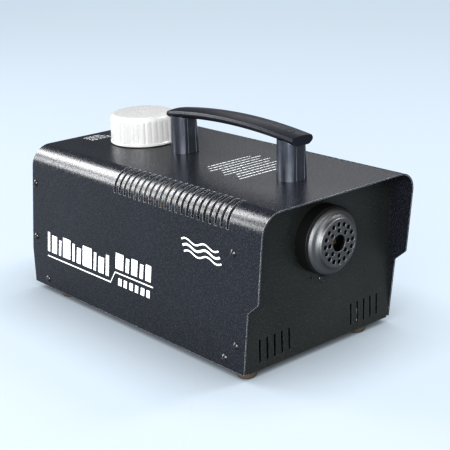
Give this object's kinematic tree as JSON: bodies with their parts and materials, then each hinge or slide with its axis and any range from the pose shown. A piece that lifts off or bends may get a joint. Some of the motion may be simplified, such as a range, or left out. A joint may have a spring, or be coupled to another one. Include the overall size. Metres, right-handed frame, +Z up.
{
  "type": "fog machine",
  "caption": "Fog machine: black sheet-steel case with a front nozzle, carrying handle, screw-on fluid tank cap, rear control panel, pump and heater.",
  "frame": {"origin": "centre of the footprint on the floor", "axes": "+Z up, the nozzle faces -Y, the controls face +Y, +X is the left hand side seen from behind"},
  "size_m": [0.1838, 0.3474, 0.1959],
  "materials": {
    "case_paint": "fine textured satin powder coat",
    "panel_paint": "satin powder coat",
    "rubber": "moulded rubber",
    "liner": "foamed plastic",
    "hose": "translucent silicone",
    "black_steel": "black zinc",
    "bright_steel": "zinc plated",
    "cap_metal": "satin dark grey",
    "collar_black": "satin black",
    "brass_parts": "turned",
    "grip_plastic": "moulded",
    "post_plastic": "moulded",
    "tank_plastic": "blow moulded",
    "cap_plastic": "moulded",
    "cast_block": "as cast",
    "lagging": "woven glass fibre",
    "zinc_sheet": "zinc plated sheet",
    "lead_sleeve": "braided glass sleeve",
    "coil_red": "varnished winding",
    "board_green": "laminate",
    "part_blue": "moulded",
    "part_black": "moulded",
    "part_green": "moulded",
    "wire_sleeve": "insulated",
    "rocker_red": "moulded",
    "button_green": "moulded",
    "lamp_amber": "moulded",
    "fuse_glass": "clear"
  },
  "bodies": {
    "case": {"board_pillars": "part_black", "button_housing": "part_black", "chassis_tray": "panel_paint", "collar_screw": "black_steel", "control_board": "board_green", "control_wiring": "wire_sleeve", "cover_screws": "black_steel", "delivery_hose": "hose", "earth_stud": "bright_steel", "feed_fitting": "brass_parts", "floor_screws": "bright_steel", "fluid_tank": "tank_plastic", "foot_front_left": "rubber", "foot_front_right": "rubber", "foot_rear_left": "rubber", "foot_rear_right": "rubber", "foot_screws": "bright_steel", "handle_bolts": "bright_steel", "handle_grip": "grip_plastic", "handle_post_front": "post_plastic", "handle_post_rear": "post_plastic", "heater_block": "cast_block", "heater_jacket": "lagging", "heater_leads": "lead_sleeve", "heater_screws": "bright_steel", "heater_stand_front": "zinc_sheet", "heater_stand_rear": "zinc_sheet", "inlet_pins": "brass_parts", "mains_inlet": "part_black", "neck_seal": "rubber", "nozzle_cap": "cap_metal", "nozzle_collar": "collar_black", "nozzle_tip": "brass_parts", "pump_bracket": "zinc_sheet", "pump_coil": "coil_red", "pump_inlet": "brass_parts", "pump_outlet": "brass_parts", "pump_sleeve": "brass_parts", "pump_spring": "bright_steel", "pump_yoke": "zinc_sheet", "ready_lamp": "lamp_amber", "rear_panel": "panel_paint", "relay": "part_blue", "remote_socket": "part_black", "socket_contacts": "brass_parts", "socket_screws": "bright_steel", "suction_hose": "hose", "switch_housing": "part_black", "terminal_block": "part_green", "thermal_fuse": "zinc_sheet", "thermostat": "zinc_sheet", "top_cover": "case_paint", "transformer": "part_black"},
    "cap_carrier": {"cap_liner": "liner"},
    "cap": {"tank_cap": "cap_plastic"},
    "rocker": {"power_rocker": "rocker_red"},
    "button": {"fog_button": "button_green"},
    "drawer": {"fuse_drawer": "part_black", "fuse": "fuse_glass"},
    "piston": {"pump_piston": "bright_steel"}
  },
  "joints": [
    {"name": "cap_lift", "type": "slide", "parent": "case", "child": "cap_carrier", "axis": [0, 0, 1], "range_m": [0, 0.026]},
    {"name": "cap_turn", "type": "hinge", "parent": "cap_carrier", "child": "cap", "pos_m": [0, 0.09505, 0.165], "axis": [0, 0, 1], "range_deg": [0, 1562]},
    {"name": "power_rock", "type": "hinge", "parent": "case", "child": "rocker", "pos_m": [-0.048, 0.16516, 0.07585], "axis": [0, 0.1483, -0.9889], "range_deg": [0, 18]},
    {"name": "fog_press", "type": "slide", "parent": "case", "child": "button", "axis": [0, -0.9889, -0.1483], "range_m": [0, 0.0015], "stiffness_N_per_m": 400},
    {"name": "fuse_pull", "type": "slide", "parent": "case", "child": "drawer", "axis": [0, 1, 0], "range_m": [0, 0.022]},
    {"name": "piston_stroke", "type": "slide", "parent": "case", "child": "piston", "axis": [0, -1, 0], "range_m": [0, 0.003], "stiffness_N_per_m": 500, "deforming": ["pump_spring"]}
  ],
  "couplings": [
    {"joint": "cap_turn", "follows": "cap_lift", "rad_per_m": 1047.2}
  ]
}
